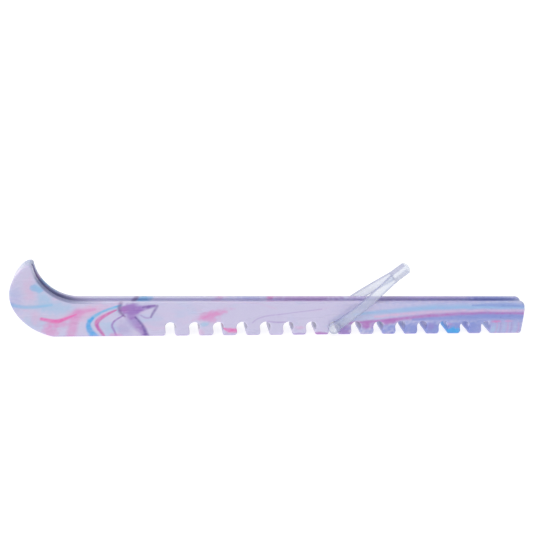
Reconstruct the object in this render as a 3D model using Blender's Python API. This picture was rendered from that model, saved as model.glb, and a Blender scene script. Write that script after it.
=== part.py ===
"""Skate blade guard: a one-piece moulded channel with a toe cup and a notched sole,
and a clear flexible loop strap whose bar turns in one of the notches.

Toe at -X, heel at +X, standing on the flat teeth at Z = 0. Metres."""
import bpy
import bmesh
from math import radians, sin, cos

MM = 0.001

# Guard body
LENGTH = 331.6 * MM
BASE_WIDTH = 13.0 * MM
TOP_WIDTH_SHARE = 0.77
BODY_HEIGHT = 22.8 * MM
TOE_HEIGHT = 46.3 * MM
TOE_X = -LENGTH / 2
HEEL_X = LENGTH / 2
HEEL_TOP_RADIUS = 4.5 * MM
HEEL_FOOT_RADIUS = 1.5 * MM
EDGE_RADIUS = 0.8 * MM
TAPER_START_X = -164.0 * MM
TAPER_END_X = -146.0 * MM

# Blade slot and toe cup hollow
SLOT_WIDTH = 4.6 * MM
SLOT_FLOOR = 11.6 * MM
TOE_WALL = 3.4 * MM

# Notches in the sole
NOTCH_COUNT = 15
NOTCH_PITCH = 15.0 * MM
FIRST_NOTCH_X = -70.25 * MM
NOTCH_WIDTH = 6.9 * MM
NOTCH_ROOF = 9.3 * MM
TOOTH_CORNER = 2.1 * MM
TOOTH_BULGE = 0.65 * MM

# Strap
STRAP_NOTCH = 7
STRAP_LEAN = radians(41.0)
PIVOT_Z = 5.6 * MM
BAR_RADIUS = 2.65 * MM
LUG_RADIUS = 3.9 * MM
LUG_THICKNESS = 2.6 * MM
SIDE_GAP = 0.3 * MM
LEG_THICKNESS = 2.2 * MM
LEG_WIDTH = 6.2 * MM
LEG_STRAIGHT = 19.0 * MM
OPENING_END = 49.5 * MM
TAB_END = 61.7 * MM
TAB_HALF_THICKNESS = 2.9 * MM
OPENING_END_HALF = 0.9 * MM
STRAP_EDGE_RADIUS = 0.5 * MM

PIVOT_X = FIRST_NOTCH_X + STRAP_NOTCH * NOTCH_PITCH
LEG_INNER = BASE_WIDTH / 2 + SIDE_GAP
LEG_OUTER = LEG_INNER + LEG_THICKNESS


def clear_scene():
    for existing in list(bpy.data.objects):
        bpy.data.objects.remove(existing, do_unlink=True)


def new_collection(name):
    collection = bpy.data.collections.new(name)
    bpy.context.scene.collection.children.link(collection)
    return collection


def plastic(name, color, roughness, alpha=1.0, transmission=0.0):
    material = bpy.data.materials.new(name)
    material.use_nodes = True
    shader = material.node_tree.nodes["Principled BSDF"]
    shader.inputs["Base Color"].default_value = (*color, 1.0)
    shader.inputs["Roughness"].default_value = roughness
    shader.inputs["Metallic"].default_value = 0.0
    shader.inputs["Alpha"].default_value = alpha
    shader.inputs["Transmission Weight"].default_value = transmission
    return material


def bezier(start, start_handle, end_handle, end, steps):
    """Points of a cubic curve, its start left out."""
    points = []
    for step in range(1, steps + 1):
        t = step / steps
        u = 1.0 - t
        weights = (u * u * u, 3 * u * u * t, 3 * u * t * t, t * t * t)
        corners = (start, start_handle, end_handle, end)
        points.append((
            sum(w * p[0] for w, p in zip(weights, corners)),
            sum(w * p[1] for w, p in zip(weights, corners)),
        ))
    return points


def arc(center, radius, start_degrees, end_degrees, steps):
    points = []
    for step in range(steps + 1):
        angle = radians(start_degrees + (end_degrees - start_degrees) * step / steps)
        points.append((center[0] + radius * cos(angle), center[1] + radius * sin(angle)))
    return points


def slab(name, outline, half_thickness, edge_radius, collection, upright=True):
    """A closed outline made solid; upright ones lie in the X-Z plane, others in X-Y."""
    curve = bpy.data.curves.new(name + "_outline", "CURVE")
    curve.dimensions = "2D"
    curve.fill_mode = "BOTH"
    curve.extrude = half_thickness - edge_radius
    curve.bevel_depth = edge_radius
    curve.bevel_resolution = 2
    curve.offset = -edge_radius
    spline = curve.splines.new("POLY")
    spline.points.add(len(outline) - 1)
    for point, (x, y) in zip(spline.points, outline):
        point.co = (x, y, 0.0, 1.0)
    spline.use_cyclic_u = True
    source = bpy.data.objects.new(name + "_outline", curve)
    collection.objects.link(source)
    bpy.context.view_layer.update()
    evaluated = source.evaluated_get(bpy.context.evaluated_depsgraph_get())
    mesh = bpy.data.meshes.new_from_object(evaluated)
    bpy.data.objects.remove(source, do_unlink=True)
    work = bmesh.new()
    work.from_mesh(mesh)
    bmesh.ops.remove_doubles(work, verts=work.verts, dist=0.00001)
    if upright:
        for vertex in work.verts:
            x, y, z = vertex.co
            vertex.co = (x, -z, y)
    bmesh.ops.recalc_face_normals(work, faces=work.faces)
    work.to_mesh(mesh)
    work.free()
    mesh.name = name
    made = bpy.data.objects.new(name, mesh)
    collection.objects.link(made)
    return made


def cylinder_across(name, radius, y_low, y_high, collection, bevel=0.0):
    """A round bar along Y through the local origin."""
    mesh = bpy.data.meshes.new(name)
    work = bmesh.new()
    bmesh.ops.create_cone(
        work, cap_ends=True, segments=40, radius1=radius, radius2=radius, depth=y_high - y_low
    )
    for vertex in work.verts:
        x, y, z = vertex.co
        vertex.co = (x, z + (y_low + y_high) / 2, -y)
    bmesh.ops.recalc_face_normals(work, faces=work.faces)
    if bevel:
        rims = [edge for edge in work.edges if abs(edge.verts[0].co.y - edge.verts[1].co.y) < 1e-7]
        bmesh.ops.bevel(
            work, geom=rims, offset=bevel, segments=2, profile=0.5, affect="EDGES"
        )
    work.to_mesh(mesh)
    work.free()
    made = bpy.data.objects.new(name, mesh)
    collection.objects.link(made)
    return made


def combine(target, tool, operation):
    """Applies one Boolean to the target for good."""
    modifier = target.modifiers.new(operation.lower(), "BOOLEAN")
    modifier.operation = operation
    modifier.solver = "EXACT"
    modifier.object = tool
    bpy.context.view_layer.update()
    evaluated = target.evaluated_get(bpy.context.evaluated_depsgraph_get())
    result = bpy.data.meshes.new_from_object(evaluated)
    target.modifiers.clear()
    target.data = result


def hide_cutter(cutter):
    cutter.hide_render = True
    cutter.display_type = "WIRE"


def smooth(made, angle):
    made.data.shade_smooth()
    made.data.set_sharp_from_angle(angle=radians(angle))


def body_outline():
    """Side outline of the guard, from the foot of the toe round to the heel."""
    toe_foot = (TOE_X + 24.4 * MM, 0.0)
    toe_front = (TOE_X, 27.5 * MM)
    tip_front = (TOE_X + 12.2 * MM, TOE_HEIGHT)
    tip_back = (TOE_X + 14.0 * MM, TOE_HEIGHT - 1.4 * MM)
    throat_end = (TOE_X + 39.8 * MM, BODY_HEIGHT)
    outline = [toe_foot]
    outline += bezier(
        toe_foot, (TOE_X + 13.4 * MM, 2.4 * MM), (TOE_X, 13.2 * MM), toe_front, 14
    )
    outline += bezier(
        toe_front, (TOE_X, 36.0 * MM), (TOE_X + 7.0 * MM, TOE_HEIGHT), tip_front, 12
    )
    outline += bezier(
        tip_front, (TOE_X + 13.3 * MM, TOE_HEIGHT), (TOE_X + 13.7 * MM, TOE_HEIGHT - 0.6 * MM),
        tip_back, 4
    )
    outline += bezier(
        tip_back, (TOE_X + 15.8 * MM, 33.6 * MM), (TOE_X + 26.6 * MM, BODY_HEIGHT), throat_end, 16
    )
    heel_top_center = (HEEL_X - HEEL_TOP_RADIUS, BODY_HEIGHT - HEEL_TOP_RADIUS)
    heel_foot_center = (HEEL_X - HEEL_FOOT_RADIUS, HEEL_FOOT_RADIUS)
    outline += arc(heel_top_center, HEEL_TOP_RADIUS, 90, 0, 8)
    outline += arc(heel_foot_center, HEEL_FOOT_RADIUS, 0, -90, 4)
    return outline


def slot_outline():
    """Side outline of the blade slot and the hollow of the toe cup, open above."""
    floor_front = (TOE_X + 32.0 * MM, SLOT_FLOOR)
    hollow_front = (TOE_X + TOE_WALL, 28.0 * MM)
    hollow_top = (TOE_X + 13.0 * MM, TOE_HEIGHT - 1.2 * MM)
    outline = [(HEEL_X + 10.0 * MM, SLOT_FLOOR), floor_front]
    outline += bezier(
        floor_front, (TOE_X + 17.0 * MM, SLOT_FLOOR), (TOE_X + TOE_WALL, 19.0 * MM),
        hollow_front, 12
    )
    outline += bezier(
        hollow_front, (TOE_X + TOE_WALL, 35.0 * MM), (TOE_X + 8.6 * MM, 42.6 * MM), hollow_top, 10
    )
    outline += [(TOE_X + 16.0 * MM, 60.0 * MM), (HEEL_X + 10.0 * MM, 60.0 * MM)]
    return outline


def notch_outline(center_x):
    """One notch: arched roof, slightly bulging sides and a rounded mouth."""
    half = NOTCH_WIDTH / 2
    arch_z = NOTCH_ROOF - half
    waist = half - TOOTH_BULGE
    right = bezier(
        (half, arch_z), (half, arch_z - 1.7 * MM), (waist, 3.6 * MM), (waist, 2.3 * MM), 5
    )
    right += bezier(
        (waist, 2.3 * MM), (waist, 0.7 * MM), (waist + 0.4 * TOOTH_CORNER, 0.0),
        (waist + TOOTH_CORNER, -0.1 * MM), 5
    )
    right.append((waist + TOOTH_CORNER, -4.0 * MM))
    roof = arc((0.0, arch_z), half, 180, 0, 14)
    outline = roof + right + [(-x, z) for x, z in reversed(right)]
    return [(center_x + x, z) for x, z in outline]


def taper_sides(body):
    """Leans the side walls in towards the rims, leaving the front of the toe cup at full width."""
    for vertex in body.data.vertices:
        along = (vertex.co.x - TAPER_START_X) / (TAPER_END_X - TAPER_START_X)
        along = min(max(along, 0.0), 1.0)
        blend = along * along * (3.0 - 2.0 * along)
        height = min(max(vertex.co.z / BODY_HEIGHT, 0.0), 1.0)
        vertex.co.y *= 1.0 - (1.0 - TOP_WIDTH_SHARE) * blend * height


def build_guard(parts, cutters):
    body = slab("guard_body", body_outline(), BASE_WIDTH / 2, EDGE_RADIUS, parts)
    taper_sides(body)
    slot = slab("slot_cutter", slot_outline(), SLOT_WIDTH / 2, 0.0, cutters)
    combine(body, slot, "DIFFERENCE")
    hide_cutter(slot)
    for number in range(NOTCH_COUNT):
        center_x = FIRST_NOTCH_X + number * NOTCH_PITCH
        notch = slab(
            f"notch_cutter_{number + 1:02d}", notch_outline(center_x), BASE_WIDTH, 0.0, cutters
        )
        combine(body, notch, "DIFFERENCE")
        hide_cutter(notch)
    body.data.materials.clear()
    body.data.materials.append(plastic("marbled_lilac_plastic", (0.60, 0.56, 0.78), 0.28))
    smooth(body, 35)
    return body


def strap_outline():
    """Plan of the loop seen square to its band: two legs meeting in the pull tab."""
    side = [(0.0, LEG_OUTER), (LEG_STRAIGHT, LEG_OUTER)]
    side += bezier(
        (LEG_STRAIGHT, LEG_OUTER), (LEG_STRAIGHT + 8.0 * MM, LEG_OUTER - 0.4 * MM),
        (OPENING_END - 9.0 * MM, TAB_HALF_THICKNESS + 2.1 * MM),
        (OPENING_END + 1.0 * MM, TAB_HALF_THICKNESS), 12
    )
    end_start = (TAB_END - 2.0 * MM, TAB_HALF_THICKNESS)
    side.append(end_start)
    side += bezier(
        end_start, (TAB_END - 0.6 * MM, TAB_HALF_THICKNESS), (TAB_END, 1.6 * MM), (TAB_END, 0.0), 6
    )
    hole = [(0.0, LEG_INNER), (LEG_STRAIGHT, LEG_INNER)]
    hole += bezier(
        (LEG_STRAIGHT, LEG_INNER), (LEG_STRAIGHT + 8.0 * MM, LEG_INNER - 0.4 * MM),
        (OPENING_END - 9.0 * MM, OPENING_END_HALF + 2.1 * MM), (OPENING_END, OPENING_END_HALF), 12
    )
    outer = side + [(x, -y) for x, y in reversed(side[:-1])]
    inner = [(x, -y) for x, y in hole] + list(reversed(hole))
    return outer + inner


def tab_end_cutter(cutters):
    """Everything outside the half-round end of the pull tab."""
    half = LEG_WIDTH / 2
    center = TAB_END - half
    outline = arc((center, 0.0), half, -90, 90, 16)
    outline += [
        (center, 3 * half), (TAB_END + 3 * half, 3 * half),
        (TAB_END + 3 * half, -3 * half), (center, -3 * half),
    ]
    return slab("tab_end_cutter", outline, 3 * TAB_HALF_THICKNESS, 0.0, cutters)


def build_strap(parts, cutters):
    strap = slab(
        "strap", strap_outline(), LEG_WIDTH / 2, STRAP_EDGE_RADIUS, parts, upright=False
    )
    end_cutter = tab_end_cutter(cutters)
    combine(strap, end_cutter, "DIFFERENCE")
    hide_cutter(end_cutter)
    bar = cylinder_across("bar_tool", BAR_RADIUS, -LEG_OUTER + 0.5 * MM, LEG_OUTER - 0.5 * MM, cutters)
    near_lug = cylinder_across(
        "near_lug_tool", LUG_RADIUS, -LEG_INNER - LUG_THICKNESS, -LEG_INNER, cutters, 0.6 * MM
    )
    far_lug = cylinder_across(
        "far_lug_tool", LUG_RADIUS, LEG_INNER, LEG_INNER + LUG_THICKNESS, cutters, 0.6 * MM
    )
    for tool in (near_lug, far_lug, bar):
        combine(strap, tool, "UNION")
        hide_cutter(tool)
    for tool in (end_cutter, near_lug, far_lug, bar):
        tool.location = (PIVOT_X, 0.0, PIVOT_Z)
        tool.rotation_euler = (0.0, -STRAP_LEAN, 0.0)
    strap.location = (PIVOT_X, 0.0, PIVOT_Z)
    strap.rotation_euler = (0.0, -STRAP_LEAN, 0.0)
    strap.data.materials.clear()
    strap.data.materials.append(
        plastic("clear_flexible_plastic", (0.86, 0.90, 0.94), 0.12, 0.35, 0.9)
    )
    smooth(strap, 35)
    return strap


def main():
    clear_scene()
    parts = new_collection("skate_blade_guard")
    cutters = new_collection("cutters")
    build_guard(parts, cutters)
    build_strap(parts, cutters)


main()
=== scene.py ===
"""Looks of the skate blade guard: a marbled lilac moulding with a clear loop strap.

Toe at -X, heel at +X, near side at -Y, standing on the floor at Z = 0."""

from math import cos, radians, sin

import bmesh
import bpy
import numpy as np
from mathutils import Matrix, Vector, noise


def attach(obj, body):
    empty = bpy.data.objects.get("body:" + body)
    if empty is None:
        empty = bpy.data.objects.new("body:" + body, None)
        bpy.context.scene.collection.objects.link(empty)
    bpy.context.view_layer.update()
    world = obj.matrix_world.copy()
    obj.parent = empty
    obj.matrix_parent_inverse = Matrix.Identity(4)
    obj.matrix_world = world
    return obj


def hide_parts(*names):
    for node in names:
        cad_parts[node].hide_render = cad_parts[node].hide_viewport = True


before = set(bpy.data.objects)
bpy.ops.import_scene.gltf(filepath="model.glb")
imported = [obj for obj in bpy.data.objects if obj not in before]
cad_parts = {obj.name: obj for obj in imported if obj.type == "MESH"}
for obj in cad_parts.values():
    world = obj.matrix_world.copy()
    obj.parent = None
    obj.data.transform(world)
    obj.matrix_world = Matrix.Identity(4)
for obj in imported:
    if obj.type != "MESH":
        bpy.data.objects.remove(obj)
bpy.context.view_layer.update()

MM = 0.001

# Guard body, as in the CAD
LENGTH = 331.6 * MM
TOE_X = -LENGTH / 2
HEEL_X = LENGTH / 2
BASE_WIDTH = 13.0 * MM
BODY_HEIGHT = 22.8 * MM
TOE_HEIGHT = 46.3 * MM
SLOT_WIDTH = 4.6 * MM
SLOT_FLOOR = 11.6 * MM
TOE_WALL = 3.4 * MM
NOTCH_COUNT = 15
NOTCH_PITCH = 15.0 * MM
FIRST_NOTCH_X = -70.25 * MM
NOTCH_WIDTH = 6.9 * MM
NOTCH_ROOF = 9.3 * MM
TOOTH_CORNER = 2.1 * MM
TOOTH_BULGE = 0.65 * MM
HEEL_TOP_RADIUS = 4.5 * MM
HEEL_FOOT_RADIUS = 1.5 * MM
TAPER_START_X = -164.0 * MM
TAPER_END_X = -146.0 * MM

# The lean and soft edges of the moulding, finer than in the CAD
GUARD_EDGE = 0.6 * MM
SIDE_LEAN = 1.3 * MM
RIM_RADIUS = 1.5 * MM
SLOT_LEAD_IN = 0.5 * MM
GUARD_VOXEL = 0.42 * MM
SOFTEN_PASSES = 3

# Strap, as in the CAD
STRAP_NOTCH = 7
STRAP_LEAN = radians(41.0)
PIVOT = Vector((FIRST_NOTCH_X + STRAP_NOTCH * NOTCH_PITCH, 0.0, 5.6 * MM))
BAR_RADIUS = 2.65 * MM
LUG_RADIUS = 3.9 * MM
LUG_THICKNESS = 2.6 * MM
LUG_BEVEL = 0.6 * MM
LEG_INNER = BASE_WIDTH / 2 + 0.3 * MM
LEG_OUTER = LEG_INNER + 2.2 * MM
LEG_WIDTH = 6.2 * MM
LEG_STRAIGHT = 19.0 * MM
OPENING_END = 49.5 * MM
OPENING_END_HALF = 0.9 * MM
TAB_END = 61.7 * MM
TAB_HALF_THICKNESS = 2.9 * MM
STRAP_EDGE_RADIUS = 0.5 * MM
STRAP_VOXEL = 0.26 * MM


# ---------------------------------------------------------------- camera

CAMERA_PLACE = Vector((-94.2, -439.9, 231.7)) * MM
CAMERA_YAW = radians(10.66)
CAMERA_PITCH = radians(22.64)
CAMERA_ROLL = radians(-4.55)


def add_camera():
    """Looks down a little on the near side from beyond the toe half, rolled slightly."""
    ahead = Vector((
        sin(CAMERA_YAW) * cos(CAMERA_PITCH),
        cos(CAMERA_YAW) * cos(CAMERA_PITCH),
        -sin(CAMERA_PITCH),
    ))
    level = Vector((cos(CAMERA_YAW), -sin(CAMERA_YAW), 0.0))
    down = -level.cross(ahead)
    right = level * cos(CAMERA_ROLL) + down * sin(CAMERA_ROLL)
    below = down * cos(CAMERA_ROLL) - level * sin(CAMERA_ROLL)
    data = bpy.data.cameras.new("photo_camera")
    data.sensor_width = 36.0
    data.lens = 52.49
    data.clip_start = 0.01
    data.clip_end = 20.0
    camera = bpy.data.objects.new("photo_camera", data)
    turn = Matrix((right, -below, -ahead)).transposed().to_4x4()
    camera.matrix_world = Matrix.Translation(CAMERA_PLACE) @ turn
    bpy.context.scene.collection.objects.link(camera)
    bpy.context.scene.camera = camera


# ---------------------------------------------------------------- shape helpers

def bezier(start, start_handle, end_handle, end, steps):
    """Points of a cubic curve, its start left out."""
    points = []
    for step in range(1, steps + 1):
        t = step / steps
        u = 1.0 - t
        weights = (u * u * u, 3 * u * u * t, 3 * u * t * t, t * t * t)
        corners = (start, start_handle, end_handle, end)
        points.append((
            sum(w * p[0] for w, p in zip(weights, corners)),
            sum(w * p[1] for w, p in zip(weights, corners)),
        ))
    return points


def arc(center, radius, start_degrees, end_degrees, steps):
    points = []
    for step in range(steps + 1):
        angle = radians(start_degrees + (end_degrees - start_degrees) * step / steps)
        points.append((center[0] + radius * cos(angle), center[1] + radius * sin(angle)))
    return points


def link(name, mesh):
    made = bpy.data.objects.new(name, mesh)
    bpy.context.scene.collection.objects.link(made)
    return made


def slab(name, outlines, half_thickness, edge_radius, upright=True):
    """Closed outlines made solid; upright ones lie in the X-Z plane, others in X-Y."""
    curve = bpy.data.curves.new(name + "_outline", "CURVE")
    curve.dimensions = "2D"
    curve.fill_mode = "BOTH"
    curve.extrude = half_thickness - edge_radius
    curve.bevel_depth = edge_radius
    curve.bevel_resolution = 3
    curve.offset = -edge_radius
    for outline in outlines:
        spline = curve.splines.new("POLY")
        spline.points.add(len(outline) - 1)
        for point, (x, y) in zip(spline.points, outline):
            point.co = (x, y, 0.0, 1.0)
        spline.use_cyclic_u = True
    source = link(name + "_outline", curve)
    bpy.context.view_layer.update()
    mesh = bpy.data.meshes.new_from_object(
        source.evaluated_get(bpy.context.evaluated_depsgraph_get())
    )
    bpy.data.objects.remove(source, do_unlink=True)
    work = bmesh.new()
    work.from_mesh(mesh)
    bmesh.ops.remove_doubles(work, verts=work.verts, dist=0.00001)
    if upright:
        for vertex in work.verts:
            x, y, z = vertex.co
            vertex.co = (x, -z, y)
    bmesh.ops.recalc_face_normals(work, faces=work.faces)
    work.to_mesh(mesh)
    work.free()
    return link(name, mesh)


def bar_across(name, radius, y_low, y_high, segments=64, bevel=0.0):
    """A round bar along Y through the local origin."""
    mesh = bpy.data.meshes.new(name)
    work = bmesh.new()
    bmesh.ops.create_cone(
        work, cap_ends=True, segments=segments, radius1=radius, radius2=radius,
        depth=y_high - y_low
    )
    for vertex in work.verts:
        x, y, z = vertex.co
        vertex.co = (x, z + (y_low + y_high) / 2, -y)
    bmesh.ops.recalc_face_normals(work, faces=work.faces)
    if bevel:
        rims = [e for e in work.edges if abs(e.verts[0].co.y - e.verts[1].co.y) < 1e-7]
        bmesh.ops.bevel(work, geom=rims, offset=bevel, segments=3, profile=0.5, affect="EDGES")
    work.to_mesh(mesh)
    work.free()
    return link(name, mesh)


def bake(made):
    """Turns the modifiers into plain mesh."""
    bpy.context.view_layer.update()
    result = bpy.data.meshes.new_from_object(
        made.evaluated_get(bpy.context.evaluated_depsgraph_get())
    )
    made.modifiers.clear()
    made.data = result


def combine(target, tool, operation):
    modifier = target.modifiers.new(operation.lower(), "BOOLEAN")
    modifier.operation = operation
    modifier.solver = "EXACT"
    modifier.object = tool
    bake(target)
    bpy.data.objects.remove(tool, do_unlink=True)


def soften(made, voxel, passes):
    """Gives every edge the small radius of a moulding."""
    remesh = made.modifiers.new("remesh", "REMESH")
    remesh.mode = "VOXEL"
    remesh.voxel_size = voxel
    remesh.use_smooth_shade = True
    relax = made.modifiers.new("relax", "SMOOTH")
    relax.factor = 0.5
    relax.iterations = passes
    bake(made)


# ---------------------------------------------------------------- guard shape

TIP_BACK = (TOE_X + 14.0 * MM, TOE_HEIGHT - 1.4 * MM)


def throat_curve(steps):
    """The rim from the back of the tip down to the straight part."""
    end = (TOE_X + 39.8 * MM, BODY_HEIGHT)
    return bezier(TIP_BACK, (TOE_X + 15.8 * MM, 33.6 * MM), (TOE_X + 26.6 * MM, BODY_HEIGHT), end, steps)


def heel_corner(steps):
    center = (HEEL_X - HEEL_TOP_RADIUS, BODY_HEIGHT - HEEL_TOP_RADIUS)
    return arc(center, HEEL_TOP_RADIUS, 90, 0, steps)


def body_outline():
    """Side outline of the guard, from the foot of the toe round to the heel."""
    toe_foot = (TOE_X + 24.4 * MM, 0.0)
    toe_front = (TOE_X, 27.5 * MM)
    tip_front = (TOE_X + 12.2 * MM, TOE_HEIGHT)
    outline = [toe_foot]
    outline += bezier(
        toe_foot, (TOE_X + 13.4 * MM, 2.4 * MM), (TOE_X, 13.2 * MM), toe_front, 28
    )
    outline += bezier(
        toe_front, (TOE_X, 36.0 * MM), (TOE_X + 7.0 * MM, TOE_HEIGHT), tip_front, 22
    )
    outline += bezier(
        tip_front, (TOE_X + 13.3 * MM, TOE_HEIGHT), (TOE_X + 13.7 * MM, TOE_HEIGHT - 0.6 * MM),
        TIP_BACK, 6
    )
    outline += throat_curve(30)
    outline += heel_corner(14)
    outline += arc((HEEL_X - HEEL_FOOT_RADIUS, HEEL_FOOT_RADIUS), HEEL_FOOT_RADIUS, 0, -90, 6)
    return outline


def slot_outline():
    """Side outline of the blade slot and the hollow of the toe cup, open above."""
    floor_front = (TOE_X + 32.0 * MM, SLOT_FLOOR)
    hollow_front = (TOE_X + TOE_WALL, 28.0 * MM)
    hollow_top = (TOE_X + 13.0 * MM, TOE_HEIGHT - 1.2 * MM)
    outline = [(HEEL_X + 10.0 * MM, SLOT_FLOOR), floor_front]
    outline += bezier(
        floor_front, (TOE_X + 17.0 * MM, SLOT_FLOOR), (TOE_X + TOE_WALL, 19.0 * MM),
        hollow_front, 20
    )
    outline += bezier(
        hollow_front, (TOE_X + TOE_WALL, 35.0 * MM), (TOE_X + 8.6 * MM, 42.6 * MM), hollow_top, 16
    )
    outline += [(TOE_X + 16.0 * MM, 60.0 * MM), (HEEL_X + 10.0 * MM, 60.0 * MM)]
    return outline


def notch_centers():
    return [FIRST_NOTCH_X + number * NOTCH_PITCH for number in range(NOTCH_COUNT)]


def notch_outline(center_x):
    """Arched roof, a bulge on each tooth that keeps the bar in, and a rounded mouth."""
    half = NOTCH_WIDTH / 2
    arch_z = NOTCH_ROOF - half
    waist = half - TOOTH_BULGE
    flare = TOOTH_CORNER
    right = bezier(
        (half, arch_z), (half, arch_z - 1.7 * MM), (waist, 3.6 * MM), (waist, 2.3 * MM), 8
    )
    right += bezier(
        (waist, 2.3 * MM), (waist, 0.7 * MM), (waist + 0.4 * flare, 0.0),
        (waist + flare, -0.1 * MM), 8
    )
    right.append((waist + flare, -4.0 * MM))
    roof = arc((0.0, arch_z), half, 180, 0, 24)
    outline = roof + right + [(-x, z) for x, z in reversed(right)]
    return [(center_x + x, z) for x, z in outline]


def ease(value, low, high):
    t = np.clip((value - low) / (high - low), 0.0, 1.0)
    return t * t * (3.0 - 2.0 * t)


def distance_to_path(u, v, path):
    """How far each point is from a path, and how far along the path the nearest point is."""
    best = np.full(len(u), 1e9)
    where = np.zeros(len(u))
    for number, (a, b) in enumerate(zip(path[:-1], path[1:])):
        run = (b[0] - a[0], b[1] - a[1])
        length = max(run[0] ** 2 + run[1] ** 2, 1e-9)
        t = np.clip(((u - a[0]) * run[0] + (v - a[1]) * run[1]) / length, 0.0, 1.0)
        away = np.hypot(u - a[0] - t * run[0], v - a[1] - t * run[1])
        nearer = away < best
        best = np.where(nearer, away, best)
        where = np.where(nearer, (number + t) / (len(path) - 1), where)
    return best, where


def in_millimetres(points):
    return [(x / MM, z / MM) for x, z in points]


def rim_path():
    """The upper edge of the guard, from the tip of the toe to the heel, in millimetres."""
    return in_millimetres([TIP_BACK] + throat_curve(20) + heel_corner(8))


def front_path():
    """The front of the toe, from the sole up to the tip, in millimetres."""
    return in_millimetres([(x, z) for x, z in body_outline() if x < TOE_X + 13.0 * MM])


def shape_sides(made):
    """Leans the side walls in above the sole, rounds the rims and opens the slot's mouth."""
    count = len(made.data.vertices)
    co = np.empty(count * 3)
    made.data.vertices.foreach_get("co", co)
    co = co.reshape(-1, 3)
    x, y, z = co[:, 0] / MM, co[:, 1] / MM, co[:, 2] / MM
    base = BASE_WIDTH / 2 / MM
    slot = SLOT_WIDTH / 2 / MM
    radius = RIM_RADIUS / MM
    lead_in = SLOT_LEAD_IN / MM
    along = ease(x, TAPER_START_X / MM, TAPER_END_X / MM)
    half = base - SIDE_LEAN / MM * along * ease(z, 5.0, BODY_HEIGHT / MM - 2.0)
    below_rim, _ = distance_to_path(x, z, rim_path())
    turned = np.clip(1.0 - below_rim / radius, 0.0, 1.0)
    half = half - radius * (1.0 - np.sqrt(1.0 - turned * turned * 0.97))
    side = np.abs(y)
    outer = side > slot + 0.15
    moved = slot + (side - slot) * (half - slot) / (base - slot)
    opened = np.clip(1.0 - below_rim / (1.6 * lead_in), 0.0, 1.0) ** 2
    moved = np.where(outer, moved, side)
    near_wall = ease(side, slot - 0.4, slot) * (1.0 - ease(side, slot + 0.2, slot + 2.2))
    moved = moved + lead_in * opened * near_wall * (0.35 + 0.65 * along)
    co[:, 1] = np.sign(y) * moved * MM
    made.data.vertices.foreach_set("co", co.ravel())
    made.data.update()


def build_guard():
    guard = slab("guard", [body_outline()], BASE_WIDTH / 2, GUARD_EDGE)
    combine(guard, slab("slot", [slot_outline()], SLOT_WIDTH / 2, 0.0), "DIFFERENCE")
    notches = slab("notches", [notch_outline(x) for x in notch_centers()], BASE_WIDTH, 0.0)
    combine(guard, notches, "DIFFERENCE")
    soften(guard, GUARD_VOXEL, SOFTEN_PASSES)
    shape_sides(guard)
    return guard


# ---------------------------------------------------------------- marbled colour, painted shade and painted highlights

def linear(red, green, blue):
    """Linear colour from the 0-255 values a designer would pick."""
    return tuple(
        (c / 255 / 12.92) if c <= 10 else ((c / 255 + 0.055) / 1.055) ** 2.4
        for c in (red, green, blue)
    )


LAVENDER = linear(213, 208, 236)
PERIWINKLE = linear(186, 190, 232)
PALE_BLUE = linear(176, 206, 236)
SKY = linear(112, 194, 238)
BRIGHT_BLUE = linear(70, 174, 240)
DEEP_BLUE = linear(120, 140, 216)
PALE_PINK = linear(228, 190, 224)
PINK = linear(226, 150, 208)
HOT_PINK = linear(238, 104, 186)
MAGENTA = linear(184, 104, 192)
VIOLET = linear(160, 118, 200)
DARK_VIOLET = linear(112, 84, 168)
PLUM = linear(120, 74, 150)
RASPBERRY = linear(218, 100, 178)
# Painted shade for the notch walls.
NOTCH_SHADE_SLATE = linear(96, 96, 150)
# Painted shade for the near rim at the toe.
RIM_SHADE_GREY = linear(140, 146, 186)
# Painted light: highlights in the notches and the paler slot.
PAINTED_LIGHT_LILAC = linear(228, 226, 253)


def smooth_path(points, steps=7):
    """The same path through its points, rounded."""
    points = [np.array(p, float) for p in points]
    padded = [2 * points[0] - points[1]] + points + [2 * points[-1] - points[-2]]
    out = []
    for a, b, c, d in zip(padded, padded[1:], padded[2:], padded[3:]):
        for step in range(steps):
            t = step / steps
            out.append(0.5 * (
                2 * b + (c - a) * t + (2 * a - 5 * b + 4 * c - d) * t * t
                + (3 * b - a - 3 * c + d) * t * t * t
            ))
    out.append(points[-1])
    return np.array(out)


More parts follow.
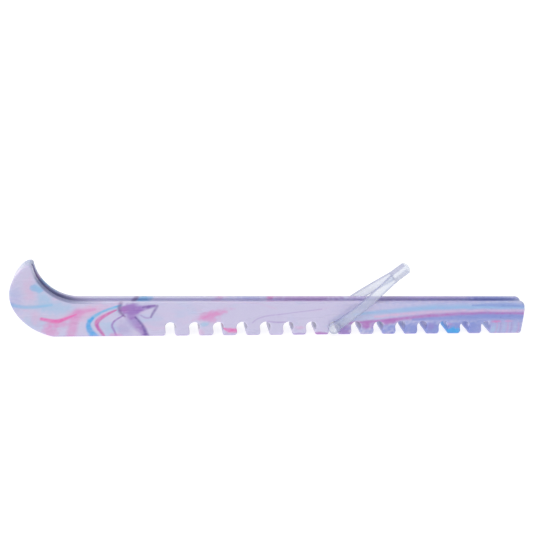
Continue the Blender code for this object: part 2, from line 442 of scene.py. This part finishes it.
class Marbling:
    """Colour streaks laid in the X-Z plane, in millimetres, bent a little through the width."""

    def __init__(self, made):
        count = len(made.data.vertices)
        co = np.empty(count * 3)
        made.data.vertices.foreach_get("co", co)
        co = co.reshape(-1, 3) / MM
        self.made = made
        self.x, self.y, self.z = co[:, 0], co[:, 1], co[:, 2]
        depth = self.y + BASE_WIDTH / 2 / MM
        wobble = np.array([
            noise.noise((px * 0.11, py * 0.07, pz * 0.16)) for px, py, pz in co
        ])
        fine = np.array([
            noise.noise((px * 0.45 + 9.0, py * 0.3, pz * 0.6)) for px, py, pz in co
        ])
        self.u = self.x + 0.5 * wobble + 0.15 * fine + 0.55 * depth * np.sin(self.z * 0.16)
        self.v = 1.08 * self.z + 0.4 * wobble + 0.08 * fine + 0.10 * depth * np.sin(self.x * 0.05)
        self.fine = fine
        self.color = np.tile(np.array(LAVENDER), (count, 1))
        self.cover = np.zeros(count)

    def lay(self, mask, color):
        mask = np.clip(mask, 0.0, 1.0)
        total = mask + self.cover * (1.0 - mask)
        share = np.where(total > 1e-6, mask / np.maximum(total, 1e-6), 0.0)[:, None]
        self.color = self.color * (1.0 - share) + np.array(color) * share
        self.cover = total

    def streak(self, color, path, width, soft=0.6, strength=1.0):
        """A band along the path; width is the half width at its start, middle and end."""
        best, where = distance_to_path(self.u, self.v, smooth_path(path))
        half = np.interp(where, (0.0, 0.5, 1.0), width)
        mask = 1.0 - ease(best, half * (1.0 - soft), half * (1.0 + soft) + 0.15)
        self.lay(mask * strength * (0.92 + 0.3 * self.fine), color)

    def patch(self, color, center, size, tilt=0.0, soft=0.8, strength=1.0, within=1.0):
        """A soft oval cloud of colour, kept to the points where within is 1."""
        angle = radians(tilt)
        dx, dz = self.u - center[0], self.v - center[1]
        along = (dx * cos(angle) + dz * sin(angle)) / size[0]
        across = (dz * cos(angle) - dx * sin(angle)) / size[1]
        away = np.hypot(along, across) + 0.35 * self.fine
        self.lay((1.0 - ease(away, 1.0 - soft, 1.0 + 0.35 * soft)) * strength * within, color)

    def store(self):
        layer = self.made.data.color_attributes.new("marbling_and_shade", "FLOAT_COLOR", "POINT")
        rgba = np.column_stack([self.color, self.cover]).astype(np.float32)
        layer.data.foreach_set("color", rgba.ravel())


def paint_toe(m):
    m.patch(PERIWINKLE, (-162, 27), (5, 12), soft=0.9, strength=0.55)
    m.patch(PALE_PINK, (-154, 33), (4.5, 11), soft=0.9, strength=0.5)
    m.patch(PALE_BLUE, (-146, 28), (6.0, 5.0), tilt=-40, soft=0.8, strength=0.8)
    m.patch(SKY, (-150, 34.5), (4.2, 3.2), tilt=-30, soft=0.5, strength=0.6)
    m.patch(PALE_BLUE, (-141, 21), (15, 5.5), tilt=-10, soft=0.8, strength=0.75)
    m.streak(SKY, [(-166, 23.6), (-160, 22.2), (-152, 21.2), (-142, 22.6)], (1.2, 1.0, 0.8), 0.8, 0.55)
    m.patch(DEEP_BLUE, (-165.5, 23.5), (2.5, 4.5), strength=0.4)
    m.patch(PALE_BLUE, (-152, 10), (9, 6), strength=0.5)
    m.patch(PALE_PINK, (-151, 13), (3.5, 6), strength=0.55)
    m.patch(PINK, (-142.5, 4.5), (5.5, 5.5), soft=0.6, strength=0.6)
    m.patch(PALE_PINK, (-119, 18), (17, 5), tilt=16, soft=0.8, strength=0.75)
    m.streak(PINK, [(-126, 17), (-128, 12), (-129.5, 7), (-131, -1)], (2.8, 2.4, 2.8), 0.7, 0.7)
    m.patch(PINK, (-138, 9), (9, 2.6), tilt=5, strength=0.6)
    m.streak(PINK, [(-137, 11.5), (-131, 14), (-124, 17.6), (-116, 19.6)], (1.0, 1.9, 0.8), 0.8, 0.75)
    m.streak(
        HOT_PINK, [(-147.5, 12.9), (-143, 11.6), (-138, 11.3), (-132.5, 13.4), (-127, 16.0)],
        (1.0, 1.2, 0.3), 0.6, 0.9
    )


def paint_stripes(m):
    m.patch(PALE_BLUE, (-108, 5), (6, 7), strength=0.6)
    m.patch(PALE_BLUE, (-103, 20), (7, 2.4), tilt=20, strength=0.7)
    m.streak(
        SKY, [(-101, 22.6), (-109, 19.2), (-115, 15.6), (-119.2, 12.0)], (0.6, 0.8, 1.4), 0.6, 0.9
    )
    m.streak(
        BRIGHT_BLUE, [(-117.0, 13.6), (-119.8, 9.5), (-119.3, 4.8), (-116.4, -1)],
        (0.7, 1.6, 2.2), 0.5, 0.9
    )
    m.streak(
        RASPBERRY, [(-103.5, 18.9), (-109, 15.8), (-113.8, 12.0), (-114.6, 7.5), (-110.6, -1)],
        (0.5, 1.3, 0.9), 0.5, 0.85
    )
    m.streak(MAGENTA, [(-113.8, 10.5), (-114.8, 7.5), (-112.4, 2)], (0.3, 0.7, 0.4), 0.6, 0.5)
    m.patch(VIOLET, (-99, 6), (5.5, 7), strength=0.28)
    m.streak(
        VIOLET, [(-99, 15.2), (-104, 11.6), (-106, 7.8), (-104.3, 3.6), (-102.5, -1)],
        (0.45, 0.6, 0.7), 0.6, 0.85
    )
    m.streak(PINK, [(-106, 1), (-101, 0.5)], (1.4, 1.7, 1.4), 0.8, 0.6)


def paint_violet_fold(m):
    m.patch(VIOLET, (-95.0, 19.6), (7.5, 4.4), tilt=10, soft=0.45, strength=0.85)
    m.patch(MAGENTA, (-98.5, 19.8), (3.6, 3.0), soft=0.8, strength=0.5)
    m.streak(PALE_PINK, [(-98, 17.6), (-90, 20.6)], (0.3, 0.5, 0.3), 0.9, 0.35)
    m.streak(
        PLUM, [(-101.2, 23.4), (-101.6, 19.6), (-100.4, 16.8), (-97.8, 14.4)], (1.1, 0.9, 0.4), 0.9, 0.7
    )
    m.streak(
        VIOLET, [(-93, 19), (-93.5, 14), (-91, 8.6), (-87, 3.8), (-84.8, -1)], (3.8, 2.6, 1.5), 0.8, 0.85
    )
    m.streak(
        DARK_VIOLET, [(-91.5, 14.2), (-88.5, 9.6), (-86, 5.1), (-84.4, -1)], (0.5, 0.9, 1.4), 0.8, 0.8
    )
    m.streak(VIOLET, [(-90.5, 17.6), (-87.5, 20.4), (-80.5, 22)], (1.0, 1.9, 0.9), 0.6, 0.9)
    m.streak(DARK_VIOLET, [(-87, 21.2), (-80.6, 22.2)], (0.5, 0.8, 0.5), 0.9, 0.65)
    m.streak(DARK_VIOLET, [(-78.9, 21.8), (-80.2, 17.8), (-82.2, 13.9)], (0.8, 0.7, 0.5), 0.9, 0.7)
    m.streak(VIOLET, [(-88, 15.4), (-85, 13.4), (-82, 13.9)], (0.4, 0.6, 0.4), 0.9, 0.55)


def paint_middle(m):
    m.patch(PINK, (-44.5, 15.6), (12.0, 2.9), tilt=16, soft=0.75, strength=0.9)
    m.patch(PINK, (-45, 12.2), (6.0, 3.0), soft=0.8, strength=0.6)
    m.patch(PALE_BLUE, (-49, 8.7), (3.4, 2.0), tilt=20, soft=0.6, strength=0.8)
    m.patch(PALE_PINK, (-52, 2), (3.5, 3.5), soft=0.8, strength=0.6)
    m.streak(HOT_PINK, [(-36.2, 5.6), (-33, 4.2), (-28.6, 3.6)], (0.6, 1.6, 1.3), 0.7, 0.85)
    m.streak(
        VIOLET, [(-19, 9.3), (-15.5, 12.3), (-8, 14.8), (4, 16.3), (26, 19.6)],
        (0.3, 0.35, 0.25), 0.7, 0.4
    )
    m.streak(VIOLET, [(-9, 10.4), (-3, 10.0), (3, 10.1)], (0.4, 0.5, 0.3), 0.8, 0.5)
    m.patch(PALE_PINK, (12, 5.6), (3.5, 1.8), soft=0.8, strength=0.7)
    m.streak(VIOLET, [(8, 0.3), (16, 0.3)], (0.7, 0.9, 0.6), 0.8, 0.6)
    m.streak(MAGENTA, [(21.5, 0.8), (30.5, 0.8)], (1.0, 1.5, 1.0), 0.7, 0.85)
    m.patch(VIOLET, (42, 3.5), (5.5, 5.5), soft=0.6, strength=0.85)


def paint_heel(m):
    m.patch(PERIWINKLE, (116, 12), (70, 24), soft=0.9, strength=0.95)
    m.patch(DEEP_BLUE, (112, 4), (64, 6.5), soft=0.6, strength=0.7)
    m.patch(DEEP_BLUE, (150, 10), (34, 12), soft=0.9, strength=0.45)
    m.streak(
        SKY, [(48, 15.6), (74, 17.8), (94, 19.4), (122, 20.0), (146, 20.6), (167, 20.2)],
        (0.8, 2.4, 3.0), 0.9, 0.5
    )
    m.streak(DEEP_BLUE, [(128, 22.2), (150, 22.4), (167, 21.6)], (0.5, 1.4, 1.2), 0.8, 0.6)
    m.streak(
        PALE_PINK, [(62, 13.6), (84, 15.8), (106, 17.0), (137, 18.0), (167, 18.0)],
        (0.7, 1.3, 1.0), 0.9, 0.7
    )
    m.streak(
        MAGENTA,
        [(45, 9.0), (64, 10.4), (80, 12.0), (94, 13.6), (112, 15.0), (138, 16.0), (167, 15.8)],
        (0.9, 1.3, 0.9), 0.9, 0.8
    )
    m.patch(MAGENTA, (57, 7.2), (4.6, 3.6), soft=0.8, strength=0.8)
    m.patch(MAGENTA, (72, 9.8), (7.5, 2.4), tilt=10, soft=0.8, strength=0.75)
    m.streak(DEEP_BLUE, [(88, 11.4), (115, 12.6), (140, 13.6), (167, 13.2)], (0.8, 1.8, 1.8), 0.8, 0.7)
    m.patch(VIOLET, (101, 6.0), (3.5, 3.5), strength=0.4)
    m.patch(BRIGHT_BLUE, (117, 2.2), (5.0, 3.4), soft=0.4, strength=1.0)
    m.patch(PINK, (112, 7.8), (4, 1.4), strength=0.4)
    m.patch(LAVENDER, (150, 4.5), (17, 6), soft=0.7, strength=0.45)
    m.patch(HOT_PINK, (146, 9.6), (4.2, 1.2), soft=0.7, strength=0.6)
    m.patch(PINK, (155, 9.8), (3.4, 1.0), soft=0.7, strength=0.55)
    m.patch(PALE_BLUE, (146, 3), (6, 3), strength=0.5)
    for number in range(9):
        at = 142 + 2.6 * number
        tone = (VIOLET, PALE_BLUE, PINK)[number % 3]
        m.streak(tone, [(at, -1), (at + 0.6, 4), (at, 8.6)], (0.4, 0.6, 0.3), 0.9, 0.35)


def paint_rims(m):
    """Colours on the rims and the mouth of the slot only."""
    rims = (1.0 - ease(np.abs(m.y), 3.2, 4.2)) * (m.z > BODY_HEIGHT / MM - 3.0)
    m.patch(SKY, (-88.5, 24.2), (6.0, 3.5), soft=0.7, strength=0.7, within=rims)
    m.patch(PLUM, (-93.5, 24.2), (2.2, 3.5), soft=0.6, strength=0.6, within=rims)
    m.patch(PINK, (-42, 24.6), (4.5, 3.0), soft=0.8, strength=0.5, within=rims)
    m.patch(DEEP_BLUE, (-22, 24.6), (14, 3.0), soft=0.7, strength=0.3, within=rims)
    m.patch(HOT_PINK, (-9, 24.6), (3.0, 3.0), soft=0.8, strength=0.5, within=rims)
    m.patch(MAGENTA, (14, 24.6), (26, 4.0), soft=0.6, strength=0.4, within=rims)
    m.patch(VIOLET, (90, 24.6), (60, 4.0), soft=0.6, strength=0.35, within=rims)
    m.patch(DEEP_BLUE, (142, 24.6), (20, 4.0), soft=0.6, strength=0.5, within=rims)


def paint_shade_and_highlights(m):
    """Painted shade and painted light: a darker toe cup, a paler slot, a grey near rim at the toe,
    painted shade and highlights in the notches and a violet line of painted shade along the sole.
    """
    straight = ease(m.x, -138.0, -116.0)
    heelward = ease(m.x, 20.0, 140.0)
    behind_front, _ = distance_to_path(m.x, m.z, front_path())
    reach = SLOT_WIDTH / 2 / MM + 0.25 + 0.45 * straight
    inside = (np.abs(m.y) < reach) & (m.z > SLOT_FLOOR / MM - 0.6) & (behind_front > 1.8)
    # Painted shade: the toe cup and the slot ahead of the straight part darkened towards dark violet.
    m.lay(inside * (1.0 - straight) * 0.5, DARK_VIOLET)
    # Painted light: the slot along the straight part made paler, less so towards the heel.
    m.lay(inside * straight * (0.95 - 0.6 * heelward), PAINTED_LIGHT_LILAC)
    below_rim, _ = distance_to_path(m.x, m.z, rim_path())
    # Painted shade: a grey band along the near rim at the toe, where the rim turns away from the light.
    band = (1.0 - ease(below_rim, 0.6, 1.5)) * (m.y < -SLOT_WIDTH / 2 / MM + 0.2)
    m.lay(band * ease(m.x, -152.5, -149.0) * (1.0 - ease(m.x, -132.0, -106.0)) * 0.8, RIM_SHADE_GREY)
    from_notch = np.full(len(m.x), 1e9)
    for center in notch_centers():
        from_notch = np.minimum(from_notch, np.abs(m.x - center / MM))
    in_notch = (from_notch < NOTCH_WIDTH / 2 / MM + 0.25) & (m.z < NOTCH_ROOF / MM + 0.3)
    deep = ease(BASE_WIDTH / 2 / MM - np.abs(m.y), 0.7, 1.8) * ease(m.z, 2.5, 6.0)
    # Painted shade: the walls deep in the notches darkened to slate, less towards the heel.
    m.lay(in_notch * deep * (0.7 - 0.65 * heelward), NOTCH_SHADE_SLATE)
    # Painted highlights: pale lilac glints on the notch walls towards the heel.
    painted_glints = np.clip(0.5 + 1.4 * m.fine, 0.0, 1.0)
    m.lay(in_notch * deep * heelward * painted_glints * 0.9, PAINTED_LIGHT_LILAC)
    # Painted shade: a violet line along the foot of the sole, where the underside turns from the light.
    m.lay((1.0 - ease(m.z, 0.2, 1.1)) * 0.55, VIOLET)


def paint_guard(guard):
    marbling_and_shade = Marbling(guard)
    paint_toe(marbling_and_shade)
    paint_stripes(marbling_and_shade)
    paint_violet_fold(marbling_and_shade)
    paint_middle(marbling_and_shade)
    paint_heel(marbling_and_shade)
    paint_shade_and_highlights(marbling_and_shade)
    paint_rims(marbling_and_shade)
    marbling_and_shade.store()


# ---------------------------------------------------------------- materials

class Nodes:
    """Short names for the nodes of one material."""

    def __init__(self, name):
        self.material = bpy.data.materials.new(name)
        self.material.use_nodes = True
        self.tree = self.material.node_tree
        self.shader = self.tree.nodes["Principled BSDF"]

    def add(self, kind, **inputs):
        node = self.tree.nodes.new(kind)
        for key, value in inputs.items():
            self.put(value, node.inputs[key.replace("_", " ")])
        return node

    def put(self, value, socket):
        if isinstance(value, bpy.types.NodeSocket):
            self.tree.links.new(value, socket)
        else:
            socket.default_value = value

    def set(self, name, value):
        self.put(value, self.shader.inputs[name])

    def place(self, scale):
        """Object coordinates stretched by a scale per axis."""
        coordinates = self.add("ShaderNodeTexCoord")
        mapping = self.add("ShaderNodeMapping", Vector=coordinates.outputs["Object"], Scale=scale)
        return mapping.outputs["Vector"]

    def noise(self, scale, detail=3.0, stretch=(1.0, 1.0, 1.0), distortion=0.0, roughness=0.5):
        made = self.add(
            "ShaderNodeTexNoise", Vector=self.place(stretch), Scale=scale, Detail=detail,
            Roughness=roughness, Distortion=distortion
        )
        return made.outputs["Fac"]

    def remap(self, value, from_min, from_max, to_min, to_max):
        made = self.add("ShaderNodeMapRange", Value=value)
        for key, number in zip(("From Min", "From Max", "To Min", "To Max"),
                               (from_min, from_max, to_min, to_max)):
            made.inputs[key].default_value = number
        return made.outputs["Result"]

    def mix(self, factor, first, second):
        made = self.tree.nodes.new("ShaderNodeMix")
        made.data_type = "RGBA"
        self.put(factor, made.inputs[0])
        for value, socket in ((first, made.inputs[6]), (second, made.inputs[7])):
            self.put((*value, 1.0) if isinstance(value, tuple) else value, socket)
        return made.outputs[2]

    def bump(self, height, strength, distance, normal=None):
        made = self.add("ShaderNodeBump", Height=height, Strength=strength, Distance=distance)
        if normal is not None:
            self.put(normal, made.inputs["Normal"])
        return made.outputs["Normal"]


def marbled_plastic():
    n = Nodes("marbled_plastic")
    clouds = n.noise(26.0, detail=3.0, stretch=(1.0, 1.6, 2.2), distortion=1.2)
    blue_clouds = n.remap(clouds, 0.52, 0.72, 0.0, 0.5)
    pink_noise = n.noise(34.0, detail=2.0, stretch=(0.8, 1.4, 2.6), distortion=1.6)
    pink_clouds = n.remap(pink_noise, 0.55, 0.75, 0.0, 0.35)
    grain = n.noise(900.0, detail=2.0)
    base = n.mix(blue_clouds, LAVENDER, PALE_BLUE)
    base = n.mix(pink_clouds, base, PALE_PINK)
    attribute = n.add("ShaderNodeAttribute")
    attribute.attribute_name = "marbling_and_shade"
    color = n.mix(attribute.outputs["Alpha"], base, attribute.outputs["Color"])
    shade = n.remap(grain, 0.3, 0.7, 0.0, 0.05)
    color = n.mix(shade, color, linear(150, 140, 190))
    n.set("Base Color", color)
    smears = n.noise(60.0, detail=4.0, stretch=(0.4, 1.0, 2.0), distortion=0.6)
    n.set("Roughness", n.remap(smears, 0.3, 0.75, 0.22, 0.36))
    scuffs = n.noise(420.0, detail=5.0, stretch=(0.18, 1.0, 1.0), roughness=0.7)
    waves = n.noise(70.0, detail=1.0, stretch=(0.5, 1.0, 1.0))
    normal = n.bump(waves, 0.25, 0.0008)
    n.set("Normal", n.bump(scuffs, 0.10, 0.0002, normal))
    n.set("IOR", 1.47)
    n.set("Subsurface Weight", 0.35)
    n.set("Subsurface Radius", (1.0, 0.85, 1.0))
    n.set("Subsurface Scale", 0.002)
    n.set("Coat Weight", 0.25)
    n.set("Coat Roughness", 0.12)
    return n.material


def clear_plastic():
    n = Nodes("clear_plastic")
    haze = n.noise(120.0, detail=3.0)
    attribute = n.add("ShaderNodeAttribute")
    attribute.attribute_name = "band_edge_shade"
    edge = attribute.outputs["Fac"]
    tint = n.mix(n.remap(haze, 0.3, 0.7, 0.0, 1.0), linear(236, 241, 254), linear(216, 227, 248))
    # Painted shade: the marked edges of the band are tinted darker and made less see-through, standing
    # in for refraction at the edges.
    n.set("Base Color", n.mix(n.remap(edge, 0.0, 1.0, 0.0, 0.75), tint, linear(138, 138, 186)))
    n.set("Alpha", n.remap(edge, 0.0, 1.0, 0.36, 0.68))
    n.set("Transmission Weight", 0.15)
    n.set("IOR", 1.4)
    n.set("Roughness", n.remap(haze, 0.3, 0.7, 0.06, 0.14))
    ripple = n.noise(160.0, detail=2.0, stretch=(0.6, 1.0, 1.0))
    n.set("Normal", n.bump(ripple, 0.2, 0.0004))
    return n.material


# ---------------------------------------------------------------- strap shape

def strap_outline():
    """Plan of the loop seen square to its band: two legs meeting in the pull tab."""
    side = [(0.0, LEG_OUTER), (LEG_STRAIGHT, LEG_OUTER)]
    side += bezier(
        (LEG_STRAIGHT, LEG_OUTER), (LEG_STRAIGHT + 8.0 * MM, LEG_OUTER - 0.4 * MM),
        (OPENING_END - 9.0 * MM, TAB_HALF_THICKNESS + 2.1 * MM),
        (OPENING_END + 1.0 * MM, TAB_HALF_THICKNESS), 20
    )
    end_start = (TAB_END - 2.0 * MM, TAB_HALF_THICKNESS)
    side.append(end_start)
    side += bezier(
        end_start, (TAB_END - 0.6 * MM, TAB_HALF_THICKNESS), (TAB_END, 1.6 * MM), (TAB_END, 0.0), 8
    )
    hole = [(0.0, LEG_INNER), (LEG_STRAIGHT, LEG_INNER)]
    hole += bezier(
        (LEG_STRAIGHT, LEG_INNER), (LEG_STRAIGHT + 8.0 * MM, LEG_INNER - 0.4 * MM),
        (OPENING_END - 9.0 * MM, OPENING_END_HALF + 2.1 * MM), (OPENING_END, OPENING_END_HALF), 20
    )
    outer = side + [(x, -y) for x, y in reversed(side[:-1])]
    inner = [(x, -y) for x, y in hole] + list(reversed(hole))
    return outer + inner


def tab_end_cutter():
    """Everything outside the half-round end of the pull tab."""
    half = LEG_WIDTH / 2
    center = TAB_END - half
    outline = arc((center, 0.0), half, -90, 90, 24)
    outline += [
        (center, 3 * half), (TAB_END + 3 * half, 3 * half),
        (TAB_END + 3 * half, -3 * half), (center, -3 * half),
    ]
    return slab("tab_end", [outline], 3 * TAB_HALF_THICKNESS, 0.0)


def paint_band_edge_shade(strap):
    """Marks the edges of the band and the lugs for painted shade: a deeper tint and less see-through
    plastic there, standing in for the refraction at the edges of clear plastic.
    """
    count = len(strap.data.vertices)
    co = np.empty(count * 3)
    strap.data.vertices.foreach_get("co", co)
    co = co.reshape(-1, 3)
    across = ease(np.abs(co[:, 2]), LEG_WIDTH / 2 - 0.7 * MM, LEG_WIDTH / 2)
    from_pivot = np.hypot(co[:, 0], co[:, 2])
    on_band = ease(from_pivot, LUG_RADIUS - 0.2 * MM, LUG_RADIUS + 1.5 * MM)
    lug_rim = ease(from_pivot, LUG_RADIUS - 1.2 * MM, LUG_RADIUS - 0.2 * MM) * (1.0 - on_band)
    opening = 1.0 - ease(np.abs(co[:, 0] - OPENING_END), 0.2 * MM, 0.9 * MM)
    edge = np.clip(across * on_band + 0.8 * lug_rim + 0.5 * opening, 0.0, 1.0)
    layer = strap.data.attributes.new("band_edge_shade", "FLOAT", "POINT")
    layer.data.foreach_set("value", edge.astype(np.float32))


def build_strap():
    strap = slab("loop_strap", [strap_outline()], LEG_WIDTH / 2, STRAP_EDGE_RADIUS, upright=False)
    combine(strap, tab_end_cutter(), "DIFFERENCE")
    for low in (-LEG_INNER - LUG_THICKNESS, LEG_INNER):
        lug = bar_across("lug", LUG_RADIUS, low, low + LUG_THICKNESS, bevel=LUG_BEVEL)
        combine(strap, lug, "UNION")
    reach = LEG_OUTER - 0.5 * MM
    combine(strap, bar_across("bar", BAR_RADIUS, -reach, reach), "UNION")
    soften(strap, STRAP_VOXEL, SOFTEN_PASSES)
    paint_band_edge_shade(strap)
    turn = Matrix.Translation(PIVOT) @ Matrix.Rotation(-STRAP_LEAN, 4, "Y")
    strap.data.transform(turn)
    return strap


# ---------------------------------------------------------------- studio

def add_floor():
    mesh = bpy.data.meshes.new("floor")
    side = 15.0
    corners = [(-side, -side, 0), (side, -side, 0), (side, side, 0), (-side, side, 0)]
    mesh.from_pydata(corners, [], [(0, 1, 2, 3)])
    floor = link("studio_floor", mesh)
    floor.location.z = -0.0001
    n = Nodes("studio_floor")
    tone = n.noise(3.0, detail=2.0)
    n.set("Base Color", n.mix(tone, linear(150, 150, 152), linear(156, 156, 158)))
    n.set("Roughness", 0.8)
    n.set("Specular IOR Level", 0.1)
    n.set("Emission Color", (1.0, 1.0, 1.0, 1.0))
    n.set("Emission Strength", 0.82)
    mesh.materials.append(n.material)


def add_sky():
    """Soft light all round, brighter towards the toe and dimmer past the heel."""
    world = bpy.data.worlds.new("studio")
    world.use_nodes = True
    nodes, links = world.node_tree.nodes, world.node_tree.links
    direction = nodes.new("ShaderNodeTexCoord")
    split = nodes.new("ShaderNodeSeparateXYZ")
    ramp = nodes.new("ShaderNodeMapRange")
    for key, number in (("From Min", -0.9), ("From Max", 0.9), ("To Min", 0.95), ("To Max", 0.15)):
        ramp.inputs[key].default_value = number
    background = nodes["Background"]
    background.inputs["Color"].default_value = (1.0, 1.0, 1.0, 1.0)
    links.new(direction.outputs["Generated"], split.inputs["Vector"])
    links.new(split.outputs["X"], ramp.inputs["Value"])
    links.new(ramp.outputs["Result"], background.inputs["Strength"])
    bpy.context.scene.world = world


def add_sun(name, aim, strength, spread):
    data = bpy.data.lights.new(name, "SUN")
    data.energy = strength
    data.angle = radians(spread)
    light = bpy.data.objects.new(name, data)
    light.rotation_euler = Vector(aim).to_track_quat("-Z", "Y").to_euler()
    bpy.context.scene.collection.objects.link(light)


def add_studio():
    add_floor()
    add_sky()
    add_sun("overhead", (0.15, 0.25, -1.0), 1.0, 40.0)
    scene = bpy.context.scene
    scene.view_settings.view_transform = "Standard"
    scene.view_settings.look = "None"


# ---------------------------------------------------------------- assembly

def main():
    add_camera()
    guard = build_guard()
    paint_guard(guard)
    guard.data.materials.clear()
    guard.data.materials.append(marbled_plastic())
    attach(guard, "guard")
    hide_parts("guard_body")
    strap = build_strap()
    strap.data.materials.clear()
    strap.data.materials.append(clear_plastic())
    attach(strap, "strap")
    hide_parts("strap")
    add_studio()


main()
